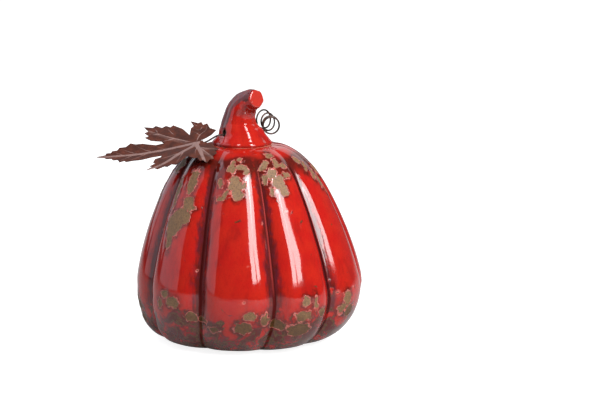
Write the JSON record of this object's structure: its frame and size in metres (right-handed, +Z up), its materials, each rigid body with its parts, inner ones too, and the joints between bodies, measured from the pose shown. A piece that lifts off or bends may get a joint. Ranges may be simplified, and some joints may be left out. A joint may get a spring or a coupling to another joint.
{
  "type": "ceramic pumpkin figure",
  "caption": "Glazed ceramic pumpkin with a curved stem, a rusty steel maple leaf and a curly wire tendril, as a seasonal table decoration.",
  "frame": {"origin": "centre of the bounding box in plan, at the underside of the foot pads", "axes": "+Z up, -Y towards the front that the picture shows, +X to the right, with the leaf towards -X"},
  "size_m": [0.2168, 0.1864, 0.2074],
  "materials": {
    "glaze": "gloss red glaze with matte tan patches",
    "rusted_steel": "matte rust brown",
    "dark_wire": "dark satin",
    "solder": "dull grey",
    "felt": "felt"
  },
  "bodies": {
    "pumpkin": {"ceramic_body": "glaze", "ceramic_stem": "glaze", "foot_pad_1": "felt", "foot_pad_2": "felt", "foot_pad_3": "felt", "foot_pad_4": "felt"},
    "wire_core": {"cross_wire": "dark_wire"},
    "leaf_and_tendril": {"leaf_blade": "rusted_steel", "leaf_wire": "dark_wire", "leaf_solder_petiole": "solder", "leaf_solder_midrib": "solder", "tendril_wire": "dark_wire"}
  },
  "joints": [
    {"name": "wire_slide", "type": "slide", "parent": "pumpkin", "child": "wire_core", "axis": [-0.8, -0.6, 0], "range_m": [0, 0.002]},
    {"name": "wire_turn", "type": "hinge", "parent": "wire_core", "child": "leaf_and_tendril", "pos_m": [0.0087, -0.0001, 0.1702], "axis": [-0.8, -0.6, 0], "range_deg": [-4, 12]}
  ]
}
